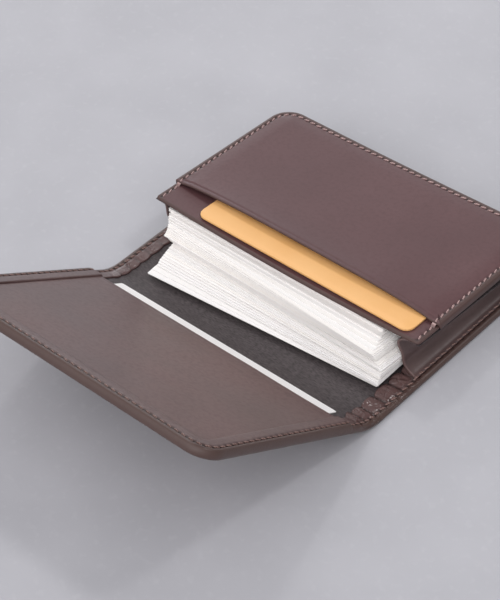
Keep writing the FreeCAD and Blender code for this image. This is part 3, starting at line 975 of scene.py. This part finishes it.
def bar_tacks():
    """Thread wound over the ends of the slip pocket's mouth."""
    points, faces, pits, runs, turns = [], [], [], [], []
    for side in (-1, 1):
        for turn in range(4):
            x = side * (panel_half - seam_inset + 0.55 - 0.36 * turn)
            start = len(points)
            line = [(mouth_y - 1.0, 12.66), (mouth_y - 0.55, 12.95), (mouth_y - 0.18, 13.45),
                    (mouth_y + 0.25, 13.74), (mouth_y + 0.8, 13.70), (mouth_y + 1.2, 13.44)]
            for number, (y, z) in enumerate(line):
                for angle in thread_angles:
                    points.append((x + 0.17 * math.cos(angle), y + 0.05 * math.sin(angle),
                                   z + 0.16 * math.sin(angle)))
                    # Painted shade on the ends, where the thread goes into the leather.
                    pits.append(0.7 if number in (0, len(line) - 1) else 0.0)
                    runs.append(0.4 * number)
                    turns.append(angle)
            faces += capped_faces(start, len(line), len(thread_angles))
    return make_mesh("bar_tacks", points, faces, attributes={"pit": pits, "along": runs, "around": turns})


def accent_card():
    """Thick card with rounded corners in the slip pocket."""
    length, depth, thick, corner = 88.0, 55.0, 0.76, 3.2
    middle_x, near_y, base = 6.0, -25.8, 12.76
    outline = Outline(middle_x - length / 2, middle_x + length / 2, near_y, near_y + depth, [corner] * 4, 1.2)
    profile = [(0.12, 0.0), (0.03, 0.04), (0.0, 0.12), (0.0, thick - 0.12), (0.03, thick - 0.04),
               (0.12, thick)]
    rings = [outline.lift(inset, base + height) for inset, height in profile]
    points, faces, _ = shell(rings, 5.0, level(base), level(base + thick))
    return make_mesh("accent_card", points, faces)


def build_panel():
    holes = along_path(panel_seam(), stitch_pitch, closed=False)
    on_base = holes[holes[:, 1] < mouth_y + 0.5]
    on_slip = holes[holes[:, 1] > mouth_y + 1.5]
    base = piece("panel_base_leather", panel_base(on_base), on_panel, panel_leather,
                 ["front_panel"])
    slip = piece("slip_pocket_leather", slip_pocket(on_slip), on_panel, panel_leather,
                 ["slip_pocket"])
    seam = stitch_row("panel_stitches", holes, False, panel_seam_height)
    thread = piece("panel_stitches", seam, on_panel, panel_thread, ["thread_panel"])
    tacks = piece("bar_tack_threads", bar_tacks(), on_panel, panel_thread, ["bar_tacks"])
    for thing in (base, slip, thread, tacks):
        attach(thing, "front_panel")
    card = piece("accent_card_satin", accent_card(), on_panel, accent_paper, ["accent_card"])
    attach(card, "accent_card")
    for thing in (base, slip, thread, tacks, card):      # each gets a mesh of its own
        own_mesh(thing)


# ---- CAD nodes that stay ---------------------------------------------------------------------------
def dress_cad_nodes():
    for node, material in (("board_back", board_material), ("board_flap", board_material),
                           ("front_panel_lining", lining)):
        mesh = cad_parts[node].data
        mesh.materials.clear()
        mesh.materials.append(material)


# ---- Stage, light and camera -----------------------------------------------------------------------
studio_ambient = 0.33
lamp_distance = 1.4                   # metres
lamp_aim = Vector((0, -0.02, 0.01))
studio_glow = [
    # direction, sharpness, gain
    ((0.12, -0.78, 0.68), 2.5, 1.75),
    ((-0.75, 0.65, 0.03), 14.0, 3.2),
]
studio_lamps = [
    # name, direction, size (m), power (W)
    ("lamp_right", (0.34, 0.45, 0.83), 0.16, 2.35),
    ("lamp_left", (-0.46, 0.42, 0.78), 0.16, 1.95),
]


def floor():
    mesh = bpy.data.meshes.new("floor")
    reach, drop = 6.0, -0.00006
    mesh.from_pydata([(-reach, -reach, drop), (reach, -reach, drop), (reach, reach, drop),
                      (-reach, reach, drop)], [], [(0, 1, 2, 3)])
    mesh.materials.append(table_top("table"))
    plane = in_scene("floor", mesh)


def soft_light(name, place, size, power):
    """Area light aimed at the case."""
    data = bpy.data.lights.new(name, "AREA")
    data.size = size
    data.energy = power
    lamp = in_scene(name, data)
    lamp.location = place
    lamp.rotation_mode = "QUATERNION"
    lamp.rotation_quaternion = (lamp_aim - Vector(place)).to_track_quat("-Z", "Y")


def lights():
    """An even studio with broad glows, each strongest along its direction, and two lamps."""
    world = bpy.data.worlds.new("studio")
    world.use_nodes = True
    studio = Nodes(world.node_tree)
    sky = studio.tree.nodes["Background"]
    studio.link((0.98, 0.98, 1.0), sky.inputs["Color"])
    view = studio.add("TexCoord", "Generated", {})
    total = studio_ambient
    for direction, sharpness, gain in studio_glow:
        facing = studio.add("VectorMath", "Value", {0: view, 1: Vector(direction).normalized()},
                            operation="DOT_PRODUCT")
        glow = studio.math("POWER", studio.math("MAXIMUM", facing), sharpness)
        total = studio.math("ADD", studio.math("MULTIPLY", glow, gain), total)
    studio.link(total, sky.inputs["Strength"])
    bpy.context.scene.world = world
    for name, direction, size, power in studio_lamps:
        soft_light(name, Vector(direction).normalized() * lamp_distance, size, power)
    bpy.context.scene.view_settings.view_transform = "Standard"


def camera():
    """Camera beside the right near corner, looking down over the spine."""
    azimuth, elevation, roll = math.radians(44.68), math.radians(43.12), math.radians(-3.96)
    data = bpy.data.cameras.new("camera")
    data.lens = 123.68
    data.clip_start = 0.02
    data.clip_end = 20
    eye = in_scene("camera", data)
    eye.matrix_world = (Matrix.Translation((0.33084, -0.37641, 0.45575)) @ Matrix.Rotation(azimuth, 4, "Z")
                        @ Matrix.Rotation(math.pi / 2 - elevation, 4, "X") @ Matrix.Rotation(roll, 4, "Z"))
    bpy.context.scene.camera = eye


build_case()
flap_pocket()
flap_card()
for bundle in range(1, len(card_bundles) + 1):
    card_bundle(bundle)
gusset()
build_panel()
dress_cad_nodes()
floor()
lights()
camera()
